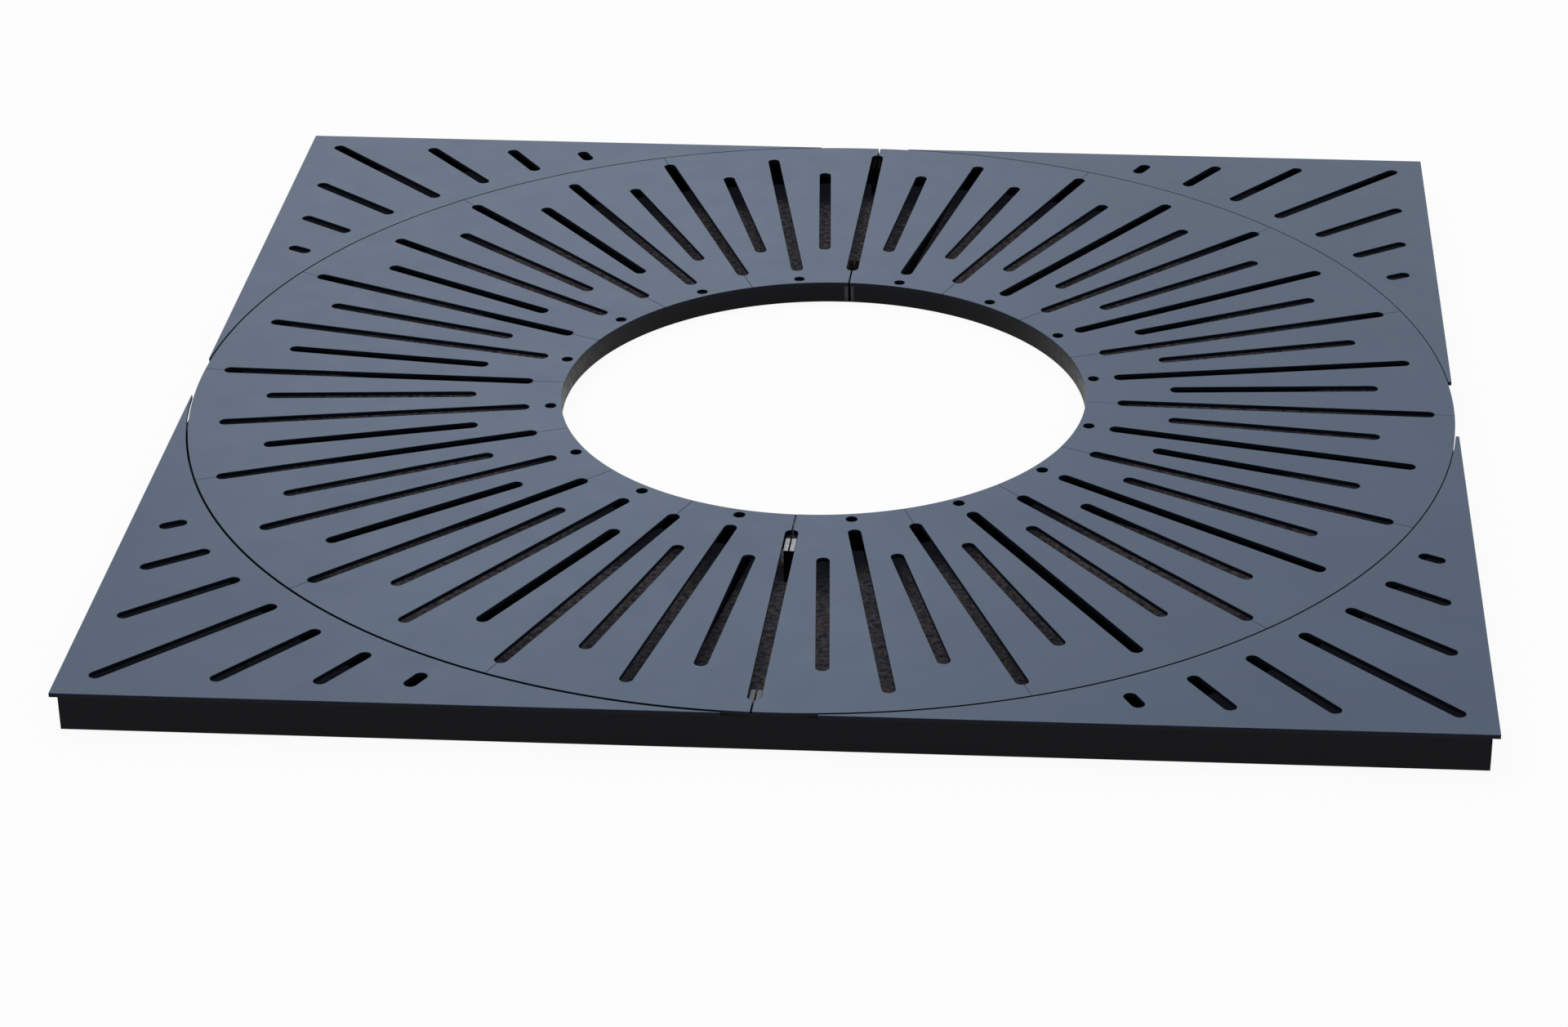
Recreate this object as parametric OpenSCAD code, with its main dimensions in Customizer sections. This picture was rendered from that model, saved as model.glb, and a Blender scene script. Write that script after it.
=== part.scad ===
// Square tree grate with a round opening for the trunk.
// Sector plates and corner plates lie loose on a carrier of upright flat bars.
// The origin is on the ground under the middle of the grate, +Z is up, and the front is at -Y.

/* [Plan] */
// Side of the square that the top plates make
side = 1500; // [1300:10:2000]
// Diameter of the opening round the trunk
opening_d = 625; // [450:5:750]
// How far the ring of sector plates stops short of the square's edge
round_margin = 1.5; // [1:0.5:12]
// How far the round part lies behind the middle of its square
round_back = 1.5; // [0:0.5:4]
// Turn of the round part within its square, in degrees seen from above
round_turn = -1.5; // [-3:0.5:3]
// Number of sector plates
sectors = 16; // [12, 16, 20]

/* [Plates] */
// Thickness of the top plates
plate_t = 5; // [4:0.5:10]
// Gap between the sector plates and the corner plates at the left of the square
circle_gap_left = 2; // [1:0.5:5]
// The same gap at the right of the square
circle_gap_right = 1; // [1:0.5:5]
// The same gap at the back
circle_gap_back = 1.5; // [1:0.5:5]
// The same gap at the front, at the end of the left-hand corner plate
circle_gap_front_left = 4; // [1:0.5:5]
// The same gap at the front, at the end of the right-hand corner plate
circle_gap_front_right = 3; // [1:0.5:5]
// Gap between two neighbouring sector plates
seam_gap = 0.5; // [0.5:0.5:3]
// Gap between the two halves of the round part
split_gap = 2; // [1:0.5:5]
// Least distance between the tips of two neighbouring corner plates
tip_gap = 100; // [60:5:160]
// The same distance at the right of the square
tip_gap_right = 145; // [60:5:160]
// Least width of those tips, where they are cut blunt
tip_w = 0.8; // [0.8:0.1:3]

/* [Slots] */
// Width of every slot
slot_w = 15; // [8:1:18]
// From the opening's edge to the tips of the long slots
slot_inset = 37.5; // [28:0.5:60]
// From the sector plates' outer edge to the tips of the seam slots
seam_slot_margin = 23.5; // [16:0.5:60]
// From the sector plates' outer edge to the tips of the middle slots
mid_slot_margin = 36; // [20:0.5:80]
// From the opening's edge to the tips of the short slots
short_slot_inset = 101; // [60:1:150]
// From the sector plates' outer edge to the tips of the short slots
short_slot_margin = 86; // [40:0.5:150]
// Slots on each side of a corner plate's diagonal slot
corner_slots_beside = 3; // [1:1:3]
// Angle between two slots of a corner plate
corner_slot_turn = 5.625; // [4:0.125:5.75]
// From the sector plates' outer edge to the inner tips of the corner slots
corner_slot_inset = 30.5; // [22:0.5:35]
// From the square's edge to the outer tips of the corner slots
corner_slot_margin = 35; // [22:0.5:38]

/* [Fixing holes] */
// Diameter of the hole in each sector plate
hole_d = 13.5; // [9:0.5:16]
// From the opening's edge to the centres of the holes
hole_inset = 12.5; // [10:0.5:18]

/* [Frame] */
// Height of all the upright flats
bar_h = 40; // [30:1:80]
// Thickness of all the upright flats
bar_t = 5; // [4:0.5:10]
// How far the plates reach past the frame at the left and the right
side_lip = 8; // [4:1:15]
// How far the plates reach past the frame at the front and the back
front_lip = 3; // [1:1:15]
// From the sector plates' outermost edge to the seats under the corner plates
seat_inset = 5; // [5:0.5:12]

/* [Round carrier] */
// How far the inner ring is set back from the opening's edge
ring_reveal = 0.5; // [0:0.5:3]
// Gap between the outer ring and the frame bars beside it
rim_clear = 1; // [0.5:0.5:4]
// Inside radius of the bend where a ring half turns into its lug
bend_in_r = 2; // [1:0.5:4]
// Length of the lugs at the inner ring, from the ring's face
inner_lug = 72; // [45:1:80]
// Length of the lugs at the outer ring, from the ring's face
outer_lug = 36; // [34:1:60]
// From a lug's free end to its bolt
lug_bolt_inset = 18; // [14:1:20]

/* [Joint bolts] */
// Nominal diameter of the bolts
bolt_d = 12; // [8:1:12]
// Clearance of a bolt in its lugs, across the diameter
lug_hole_play = 1.5; // [0.5:0.5:3]
// Width across the flats of the bolt heads and nuts
hex_af = 18; // [16:0.5:20]
// Height of the bolt heads
head_h = 7.5; // [5:0.5:10]
// Height of the nuts
nut_h = 10.8; // [8:0.2:14]
// Outside diameter of the washers
washer_d = 24; // [22:1:26]
// Thickness of the washers
washer_t = 2.5; // [1.5:0.5:4]
// Clearance of a bolt in its washers, across the diameter
washer_play = 1; // [0.5:0.5:1.5]
// Length of thread that shows past a nut
bolt_end = 2.2; // [1:0.2:6]

/* [Locating tabs] */
// Width of the tabs under the plates
tab_w = 20; // [12:1:26]
// Thickness of the tabs
tab_t = 5; // [3:0.5:6]
// How far the tabs reach down
tab_drop = 15; // [8:1:25]
// Gap between a tab and the bar that it locates on
tab_clear = 1; // [0.5:0.5:2]
// From the square's corner to the middle of the tabs under a corner plate
corner_tab_inset = 200; // [120:5:300]

/* [Hidden] */
$fn = 180;
// Facets of the large circles in a preview
ring_fn = 720;
// Turn by which a bend reaches into the band and the lug that it joins, in degrees
lap_turn = 8;
// Radial room between a bolt's thread and its nut
thread_gap = 0.1;
// Extra reach of every cut beyond the piece that it cuts
overrun = 5;

opening_r = opening_d / 2;
round_r = side / 2 - round_margin;
hole_r_centre = opening_r + hole_inset;
sector_turn = 360 / sectors;
slot_turn = sector_turn / 4;

// Inner faces of the frame, measured from the middle
frame_in_x = side / 2 - side_lip - bar_t;
frame_in_y = side / 2 - front_lip - bar_t;
seat_r = round_r + round_back + seat_inset;

// Inner and outer faces of the two rings
ring_in_r = opening_r + ring_reveal;
ring_out_r = ring_in_r + bar_t;
rim_out_r = min(frame_in_x, frame_in_y - round_back) - rim_clear;
rim_in_r = rim_out_r - bar_t;

// Bends, lugs and bolts of the joints
bend_out_r = bend_in_r + bar_t;
inner_lug_r = ring_out_r + inner_lug;
outer_lug_r = rim_in_r - outer_lug;
joint_rs = [inner_lug_r - lug_bolt_inset, outer_lug_r + lug_bolt_inset];
lug_hole_d = bolt_d + lug_hole_play;
lug_face = split_gap / 2 + bar_t;
washer_face = lug_face + washer_t;
bolt_len = 2 * washer_face + nut_h + bolt_end;

// Name of each corner, its side and end of the square, the gaps that its plate leaves to the
// sector plates at that side and at that end, and the distance between the tips at that side
CORNERS = [
    ["front_left", -1, -1, circle_gap_left, circle_gap_front_left, tip_gap],
    ["front_right", 1, -1, circle_gap_right, circle_gap_front_right, tip_gap_right],
    ["back_left", -1, 1, circle_gap_left, circle_gap_back, tip_gap],
    ["back_right", 1, 1, circle_gap_right, circle_gap_back, tip_gap_right]
];
SIDES = [["left", -1], ["right", 1]];

function two_digits(i) = str(i < 10 ? "0" : "", i);

// Places whatever belongs to the round part
module at_round() {
    translate([0, round_back]) rotate(round_turn) children();
}

// Outlines

// A flat ring between two radii
module band(r_in, r_out) {
    difference() {
        circle(r = r_out, $fn = ring_fn);
        circle(r = r_in, $fn = ring_fn);
    }
}

// A slot with round ends along +X, from tip to tip
module slot(r_in, r_out) {
    straight = r_out - r_in - slot_w;
    translate([r_in + slot_w / 2, 0]) {
        translate([0, -slot_w / 2]) square([straight, slot_w]);
        for (x = [0, straight]) translate([x, 0]) circle(d = slot_w);
    }
}

// The stretch between two directions, given in degrees, out past radius r
module wedge(from_a, to_a, r) {
    reach = r / cos((to_a - from_a) / 2) + overrun;
    polygon([[0, 0], reach * [cos(from_a), sin(from_a)], reach * [cos(to_a), sin(to_a)]]);
}

// A sector plate whose middle lies on +X, with the gaps at its two edges
module sector_outline(gap_low, gap_high) {
    half = sector_turn / 2;
    difference() {
        intersection() {
            band(opening_r, round_r);
            wedge(-half, half, round_r);
        }
        rotate(-half) translate([0, -gap_low / 2]) square([round_r + overrun, gap_low]);
        rotate(half) translate([0, -gap_high / 2]) square([round_r + overrun, gap_high]);
        for (a = [-half, half]) {
            rotate(a) slot(opening_r + slot_inset, round_r - seam_slot_margin);
        }
        for (a = [-slot_turn, slot_turn]) {
            rotate(a) slot(opening_r + short_slot_inset, round_r - short_slot_margin);
        }
        slot(opening_r + slot_inset, round_r - mid_slot_margin);
        translate([hole_r_centre, 0]) circle(d = hole_d);
    }
}

// How far a circle of radius r reaches at a distance d from its centre
function chord_half(r, d) = sqrt(max(0, r * r - d * d));

// A corner plate in the +X +Y corner. The round part's centre lies at the height back in
// this view. The plate's round edge leaves gap_x to it on the X axis and gap_y on the Y axis.
// Both tips end where the plate narrows to tip_w, or before that, the least distance apart.
module corner_outline(gap_x, gap_y, back, tips_y) {
    edge_r = round_r + (gap_x + gap_y) / 2;
    edge_x = (gap_x - gap_y) / 2;
    edge_y = back - edge_x;
    tip_at = side / 2 - tip_w;
    tip_x = max(tip_gap / 2, edge_x + chord_half(edge_r, tip_at - edge_y));
    tip_y = max(tips_y / 2, edge_y + chord_half(edge_r, tip_at - edge_x));
    difference() {
        translate([tip_x, tip_y]) square([side / 2 - tip_x, side / 2 - tip_y]);
        translate([edge_x, edge_y]) circle(r = edge_r, $fn = ring_fn);
        for (k = [-corner_slots_beside:corner_slots_beside]) {
            off = abs(k) * corner_slot_turn;
            tip_r = (side / 2 - corner_slot_margin) / cos(45 - off);
            rotate(45 + k * corner_slot_turn) slot(round_r + corner_slot_inset, tip_r);
        }
    }
}

// Half of a ring on the +X side. Its ends bend away from the band into lugs that
// face the other half: outwards at the inner ring, inwards at the outer one.
// Each bend reaches a little into the band and into its lug, so that they join.
module ring_half_outline(r_in, r_out, lug_r) {
    way = lug_r > r_out ? 1 : -1;
    face_r = way > 0 ? r_in : r_out;
    bend_x = split_gap / 2 + bend_out_r;
    bend_centre_r = face_r + way * bend_out_r;
    bend_y = sqrt(pow(bend_centre_r, 2) - pow(bend_x, 2));
    start_a = atan2(bend_y, bend_x);
    lap = bend_in_r * sin(lap_turn) / 2;
    lap_a = lap / face_r * 180 / PI;
    lug_y = bend_y + way * lap;
    intersection() {
        band(r_in, r_out);
        union() {
            wedge(lap_a - start_a, lap_a, r_out);
            wedge(-lap_a, start_a - lap_a, r_out);
        }
    }
    for (m = [0, 1]) mirror([0, m]) {
        translate([bend_x, bend_y]) intersection() {
            band(bend_in_r, bend_out_r);
            bend_stretch(start_a + (way > 0 ? 180 : 0), way);
        }
        translate([split_gap / 2, min(lug_y, lug_r)]) square([bar_t, abs(lug_r - lug_y)]);
    }
}

// The stretch of a bend, from its start at the band round to the lug along -X
module bend_stretch(band_a, way) {
    reach = 2 * bend_out_r;
    first_a = band_a + way * lap_turn;
    last_a = 180 - way * lap_turn;
    polygon([
        [0, 0],
        reach * [cos(first_a), sin(first_a)],
        reach * [-1, -way],
        reach * [cos(last_a), sin(last_a)]
    ]);
}

// Plates

// Sector plates are counted anticlockwise from the right-hand side.
// The edges that lie on the split between the two halves have the wider gap.
module sector_plate(i) {
    gap_low = i == sectors / 4 + 1 || i == 3 * sectors / 4 + 1 ? split_gap : seam_gap;
    gap_high = i == sectors / 4 || i == 3 * sectors / 4 ? split_gap : seam_gap;
    color("slategray")
    translate([0, 0, bar_h])
    at_round() rotate((i - 0.5) * sector_turn)
    linear_extrude(plate_t) sector_outline(gap_low, gap_high);
}

// Four tabs under a sector plate: two outside the inner ring, two inside the outer ring
module sector_tabs(i) {
    color("dimgray")
    at_round() rotate((i - 0.5) * sector_turn)
    for (a = [-slot_turn, slot_turn], r = [ring_out_r + tab_clear, rim_in_r - tab_clear - tab_t]) {
        rotate(a) translate([r, -tab_w / 2, bar_h - tab_drop]) cube([tab_t, tab_w, tab_drop]);
    }
}

module at_corner(c) {
    mirror([c[1] < 0 ? 1 : 0, 0, 0]) mirror([0, c[2] < 0 ? 1 : 0, 0]) children();
}

module corner_plate(c) {
    color("slategray")
    at_corner(c) translate([0, 0, bar_h]) linear_extrude(plate_t) {
        corner_outline(c[3], c[4], c[2] * round_back, c[5]);
    }
}

// Two tabs under a corner plate, each against the inner face of one frame bar
module corner_tabs(c) {
    along = side / 2 - corner_tab_inset - tab_w / 2;
    z = bar_h - tab_drop;
    color("dimgray")
    at_corner(c) {
        translate([frame_in_x - tab_clear - tab_t, along, z]) cube([tab_t, tab_w, tab_drop]);
        translate([along, frame_in_y - tab_clear - tab_t, z]) cube([tab_w, tab_t, tab_drop]);
    }
}

// Square frame

// The front and back bars run the whole width, and the side bars stand between them.
module frame_bar_front() {
    half_w = side / 2 - side_lip;
    color("#2b2d31")
    translate([-half_w, -frame_in_y - bar_t, 0]) cube([2 * half_w, bar_t, bar_h]);
}

module frame_bar_back() {
    mirror([0, 1, 0]) frame_bar_front();
}

module frame_bar_right() {
    color("#2b2d31")
    translate([frame_in_x, -frame_in_y, 0]) cube([bar_t, 2 * frame_in_y, bar_h]);
}

module frame_bar_left() {
    mirror([1, 0, 0]) frame_bar_right();
}

// A bent flat across one corner of the frame, welded to both bars at its ends
module corner_seat(c) {
    color("#2b2d31")
    at_corner(c) linear_extrude(bar_h) intersection() {
        band(seat_r, seat_r + bar_t);
        square([frame_in_x, frame_in_y]);
    }
}

// Round carrier in two halves

module at_half(s) {
    at_round() mirror([s[1] < 0 ? 1 : 0, 0, 0]) children();
}

// Places of the four joint bolts, each along the local Z axis
module at_joints() {
    at_round()
    for (y = [-joint_rs[1], -joint_rs[0], joint_rs[0], joint_rs[1]]) {
        translate([0, y, bar_h / 2]) rotate([0, 90, 0]) children();
    }
}

module ring_half(s, r_in, r_out, lug_r) {
    difference() {
        at_half(s) linear_extrude(bar_h) ring_half_outline(r_in, r_out, lug_r);
        at_joints() translate([0, 0, -lug_face - overrun]) {
            cylinder(d = lug_hole_d, h = 2 * (lug_face + overrun));
        }
    }
}

module inner_ring(s) {
    color("#26282b") ring_half(s, ring_in_r, ring_out_r, inner_lug_r);
}

module outer_ring(s) {
    color("#26282b") ring_half(s, rim_in_r, rim_out_r, outer_lug_r);
}

// One radial bar for each sector plate, under the strip beside its middle slot
module radial_bars(s) {
    first = s[1] > 0 ? -sectors / 4 : sectors / 4;
    color("#2b2d31")
    linear_extrude(bar_h) at_round() for (i = [first:first + sectors / 2 - 1]) {
        intersection() {
            band(ring_out_r, rim_in_r);
            rotate((i + 0.5) * sector_turn + slot_turn / 2) {
                translate([0, -bar_t / 2]) square([rim_out_r, bar_t]);
            }
        }
    }
}

// Fasteners of the joints between the two halves

module hexagon(h) {
    cylinder(d = hex_af / cos(30), h = h, $fn = 6);
}

module joint_bolts() {
    color("silver")
    at_joints() {
        translate([0, 0, -washer_face - head_h]) hexagon(head_h);
        translate([0, 0, -washer_face]) cylinder(d = bolt_d, h = bolt_len);
    }
}

module joint_nuts() {
    color("silver")
    at_joints() translate([0, 0, washer_face]) difference() {
        hexagon(nut_h);
        translate([0, 0, -overrun]) cylinder(d = bolt_d + 2 * thread_gap, h = nut_h + 2 * overrun);
    }
}

module joint_washers() {
    color("silver")
    at_joints() for (z = [-washer_face, lug_face]) translate([0, 0, z]) difference() {
        cylinder(d = washer_d, h = washer_t);
        translate([0, 0, -overrun]) cylinder(d = bolt_d + washer_play, h = washer_t + 2 * overrun);
    }
}

for (i = [1:sectors]) {
    sector_plate(i);
    sector_tabs(i);
}
for (c = CORNERS) {
    corner_plate(c);
    corner_tabs(c);
    corner_seat(c);
}
frame_bar_front();
frame_bar_back();
frame_bar_left();
frame_bar_right();
for (s = SIDES) {
    inner_ring(s);
    outer_ring(s);
    radial_bars(s);
}
joint_bolts();
joint_nuts();
joint_washers();
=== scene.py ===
# %% [markdown]
# # A square tree grate, plate by plate
# The real grate is sixteen sector plates and four corner plates, laser-cut from 5 mm sheet and
# powder coated, which lie loose on a carrier welded from upright flat bars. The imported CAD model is
# the frame of this scene: its pieces already have their true size and place, but they have knife
# edges and no finish. Each piece could be modelled again from nothing, and then every slot would
# have to be fitted twice. So each one is dressed where it lies: it gets the edges, welds, threads
# and coats of the real one, and is then lit and framed as in the photograph.

import math
import random

import bmesh
import bpy
from mathutils import Matrix, Vector


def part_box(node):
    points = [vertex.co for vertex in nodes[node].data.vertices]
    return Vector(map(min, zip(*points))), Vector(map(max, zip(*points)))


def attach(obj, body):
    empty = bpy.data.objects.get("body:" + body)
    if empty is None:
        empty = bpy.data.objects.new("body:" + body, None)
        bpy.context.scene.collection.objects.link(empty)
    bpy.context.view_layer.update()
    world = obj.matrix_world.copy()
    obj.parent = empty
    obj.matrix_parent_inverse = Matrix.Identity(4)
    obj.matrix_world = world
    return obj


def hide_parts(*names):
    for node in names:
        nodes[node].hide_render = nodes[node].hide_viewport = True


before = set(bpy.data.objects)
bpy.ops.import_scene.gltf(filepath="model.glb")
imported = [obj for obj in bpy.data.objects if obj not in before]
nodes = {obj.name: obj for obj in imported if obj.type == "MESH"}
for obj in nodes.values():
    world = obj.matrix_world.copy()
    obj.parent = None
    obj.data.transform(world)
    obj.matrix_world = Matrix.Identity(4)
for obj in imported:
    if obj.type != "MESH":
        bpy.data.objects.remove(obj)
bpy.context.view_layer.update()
MM = 0.001

# %% [markdown]
# The driving sizes are read off the frame wherever a node's box gives them, so that a grate of
# another size is still dressed in the right places. The round part of the real grate lies a touch
# turned and a touch back in its square. Its two half rings mirror each other through their middle,
# so their boxes give that middle. No box shows the turn, so the turn is written down.

# %% Sizes from the frame
ROUND_TURN = math.radians(-1.5)
ROUND_BACK = (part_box("inner_ring_left")[1].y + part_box("inner_ring_right")[0].y) / 2
AT_ROUND = Matrix.Translation((0, ROUND_BACK, 0)) @ Matrix.Rotation(ROUND_TURN, 4, "Z")
BAR_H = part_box("frame_bar_front")[1].z
BAR_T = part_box("frame_bar_front")[1].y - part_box("frame_bar_front")[0].y
RING_OUT_R = -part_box("inner_ring_left")[0].x
RING_IN_R = RING_OUT_R - BAR_T
RIM_IN_R = -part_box("outer_ring_left")[0].x - BAR_T
FRAME_IN_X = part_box("frame_bar_right")[0].x
FRAME_IN_Y = -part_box("frame_bar_front")[1].y
SECTORS = sum(name.startswith("sector_plate_") for name in nodes)
SECTOR_TURN = 2 * math.pi / SECTORS
CORNERS = ["front_left", "front_right", "back_left", "back_right"]
print("sector plates:", SECTORS, "ring radius:", round(RING_OUT_R / MM, 1), "mm,",
      "round part back by", round(ROUND_BACK / MM, 1), "mm")

# %% [markdown]
# Colours are written as sRGB hex values, the way a paint chart or an image editor gives them.
# Shaders count in linear light, so one function turns them, and no colour is turned by hand.

# %% Colours


def colour(hex_value):
    """An sRGB hex value such as "66717F" as the linear colour that shaders take."""
    parts = [int(hex_value[i:i + 2], 16) / 255 for i in (0, 2, 4)]
    linear = [p / 12.92 if p <= 0.04045 else ((p + 0.055) / 1.055) ** 2.4 for p in parts]
    return (*linear, 1.0)


print("the middle grey 808080 in linear light:", round(colour("808080")[0], 3))

# %% [markdown]
# A material is a small network of nodes. One function adds a node with its settings and its links,
# so that each material below reads as a list of what feeds what.

# %% Nodes


def add(tree, kind, inputs=None, **settings):
    """Adds a node of a kind. An input is a value, or another node's output to link."""
    made = tree.nodes.new(kind)
    for name, value in settings.items():
        setattr(made, name, value)
    for name, value in (inputs or {}).items():
        if isinstance(value, bpy.types.NodeSocket):
            tree.links.new(value, made.inputs[name])
        else:
            made.inputs[name].default_value = value
    return made


def new_material(name):
    """An empty node material, its tree and its output node."""
    material = bpy.data.materials.new(name)
    material.use_nodes = True
    material.node_tree.nodes.clear()
    return material, material.node_tree, add(material.node_tree, "ShaderNodeOutputMaterial")


print("helpers:", add.__name__, new_material.__name__)

# %% [markdown]
# ## The coat on the plates
# The plates carry a satin polyester powder coat in a blue grey. Powder melts into a skin with a
# very fine orange peel, about 2.5 mm from crest to crest, so the sky's reflection is broad and
# soft. No two plates hang alike in the oven, and each takes a slightly different shade: the
# attribute "shade" on every plate carries that. Hands and boots leave faint duller patches. A noise
# seldom leaves its middle range, so each pattern names the stretch of its noise that it spreads out.
# A painted image could hold all this, but noise on Object coordinates needs no unwrapping and has
# its true size everywhere. The specular level is low because the street round the real grate is
# darker than the studio here.

# %% Satin powder coat
ORANGE_PEEL = 2.5 * MM
CLOUD = 160 * MM
HANDLING = 45 * MM
HANDLING_NOISE = (0.35, 0.7)
COAT_ROUGHNESS = (0.36, 0.42)
PALEST, DARKEST = 1.4, 0.6


def satin_powder_coat():
    material, tree, output = new_material("satin powder coat, blue grey")
    place = add(tree, "ShaderNodeTexCoord").outputs["Object"]
    cloud = add(tree, "ShaderNodeTexNoise", {"Vector": place, "Scale": 1 / CLOUD, "Detail": 3.0})
    shade = add(tree, "ShaderNodeAttribute", attribute_name="shade")
    spread = add(tree, "ShaderNodeMath", {0: cloud.outputs["Fac"], 1: shade.outputs["Fac"]},
                 operation="ADD")
    tone = add(tree, "ShaderNodeMapRange", {"Value": spread.outputs[0], "From Min": DARKEST,
                                            "From Max": PALEST})
    base = add(tree, "ShaderNodeMix", {"Factor": tone.outputs[0], "A": colour("3D4D62"),
                                       "B": colour("46566B")}, data_type="RGBA")
    wear_and_highlight = add(tree, "ShaderNodeTexNoise", {"Vector": place, "Scale": 1 / HANDLING,
                                           "Detail": 4.0, "Roughness": 0.6})
    dull = add(tree, "ShaderNodeMapRange",
               {"Value": wear_and_highlight.outputs["Fac"], "From Min": HANDLING_NOISE[0],
                "From Max": HANDLING_NOISE[1], "To Min": COAT_ROUGHNESS[0],
                "To Max": COAT_ROUGHNESS[1]})
    peel = add(tree, "ShaderNodeTexNoise", {"Vector": place, "Scale": 1 / ORANGE_PEEL,
                                            "Detail": 1.0})
    bump = add(tree, "ShaderNodeBump", {"Height": peel.outputs["Fac"], "Strength": 0.15,
                                        "Distance": 0.1 * MM})
    coat = add(tree, "ShaderNodeBsdfPrincipled",
               {"Base Color": base.outputs["Result"], "Roughness": dull.outputs[0],
                "Normal": bump.outputs[0], "IOR": 1.5, "Specular IOR Level": 0.2})
    tree.links.new(coat.outputs[0], output.inputs["Surface"])
    return material


COAT = satin_powder_coat()
print("nodes in the coat:", len(COAT.node_tree.nodes))

# %% [markdown]
# A laser leaves fine upright lines on the walls that it cuts, a few tenths of a millimetre apart.
# The walls face the ground and the dark side of the street, so they fall into shade, and that shade
# is painted into their colour: the same coat as on the tops is drawn here in a near-black navy. The
# lines are drawn 1.2 mm apart, because the true ones are too fine to show. A noise that is squeezed
# along the plan and stretched along the height gives upright lines on a wall of any direction, where
# a wave texture would only suit one.

# %% Laser-cut wall, painted shade
CUT_LINE = 1.2 * MM
CUT_LENGTH = 12 * MM


def laser_cut_wall_painted_shade():
    material, tree, output = new_material("laser-cut wall, painted shade")
    place = add(tree, "ShaderNodeTexCoord").outputs["Object"]
    upright_lines = add(tree, "ShaderNodeMapping",
                        {"Vector": place, "Scale": (1 / CUT_LINE, 1 / CUT_LINE, 1 / CUT_LENGTH)})
    lines = add(tree, "ShaderNodeTexNoise", {"Vector": upright_lines.outputs[0], "Scale": 1.0,
                                             "Detail": 1.0})
    # The near-black navy is painted shade on the plates' own coat.
    base = add(tree, "ShaderNodeMix", {"Factor": lines.outputs["Fac"], "A": colour("0D1017"),
                                       "B": colour("141822")}, data_type="RGBA")
    bump = add(tree, "ShaderNodeBump", {"Height": lines.outputs["Fac"], "Strength": 0.4,
                                        "Distance": 0.15 * MM})
    coat = add(tree, "ShaderNodeBsdfPrincipled",
               {"Base Color": base.outputs["Result"], "Roughness": 0.5,
                "Normal": bump.outputs[0], "IOR": 1.5, "Specular IOR Level": 0.1})
    tree.links.new(coat.outputs[0], output.inputs["Surface"])
    return material


SHADED_CUT_WALL = laser_cut_wall_painted_shade()
print("nodes in the cut wall:", len(SHADED_CUT_WALL.node_tree.nodes))

# %% [markdown]
# The carrier is hot-rolled flat bar under the same powder in near black. Mill scale leaves the face
# of a rolled bar lightly rippled, about 9 mm from one low spot to the next, so its sheen breaks up
# into soft patches. One noise drives colour, gloss and bump together, because on the real bar all
# three come from the same ripples. At the bends of the inner ring and on the front lug tops of the
# outer ring, a grey painted highlight is mixed in. A point attribute carries it, and a piece without
# that attribute stays black.

# %% Black coat over rolled bar
MILL_SCALE = 9 * MM
SHEEN_NOISE = (0.3, 0.7)
BAR_ROUGHNESS = (0.32, 0.5)


def black_bar_coat():
    material, tree, output = new_material("black powder coat over rolled bar")
    place = add(tree, "ShaderNodeTexCoord").outputs["Object"]
    scale = add(tree, "ShaderNodeTexNoise", {"Vector": place, "Scale": 1 / MILL_SCALE,
                                             "Detail": 4.0, "Roughness": 0.55})
    black = add(tree, "ShaderNodeMix", {"Factor": scale.outputs["Fac"], "A": colour("0A0B0D"),
                                        "B": colour("121316")}, data_type="RGBA")
    # Where the point attribute is set, the black is mixed towards 5E6064, a grey painted highlight.
    wear_and_highlight = add(tree, "ShaderNodeAttribute", attribute_name="wear_and_highlight")
    base = add(tree, "ShaderNodeMix", {"Factor": wear_and_highlight.outputs["Fac"], "A": black.outputs["Result"],
                                       "B": colour("5E6064")}, data_type="RGBA")
    gloss = add(tree, "ShaderNodeMapRange",
                {"Value": scale.outputs["Fac"], "From Min": SHEEN_NOISE[0],
                 "From Max": SHEEN_NOISE[1], "To Min": BAR_ROUGHNESS[0],
                 "To Max": BAR_ROUGHNESS[1]})
    bump = add(tree, "ShaderNodeBump", {"Height": scale.outputs["Fac"], "Strength": 0.25,
                                        "Distance": 0.3 * MM})
    coat = add(tree, "ShaderNodeBsdfPrincipled",
               {"Base Color": base.outputs["Result"], "Roughness": gloss.outputs[0],
                "Normal": bump.outputs[0], "IOR": 1.5, "Specular IOR Level": 0.09})
    tree.links.new(coat.outputs[0], output.inputs["Surface"])
    return material


BLACK = black_bar_coat()
print("nodes in the black coat:", len(BLACK.node_tree.nodes))

# %% [markdown]
# The top edges of the lugs at the front joint of the inner ring carry a painted highlight: a light,
# mottled, partly metallic steel stands for the light that they catch. At the back joints the lug
# tops carry painted shade instead, a matt near black. Both are separate materials rather than masks
# in the black coat, because each ends at a clean line across the lug.

# %% Painted highlight and painted shade for the lugs
HIGHLIGHT_MOTTLE = 3 * MM
SHADE_MOTTLE = 4 * MM


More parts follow.
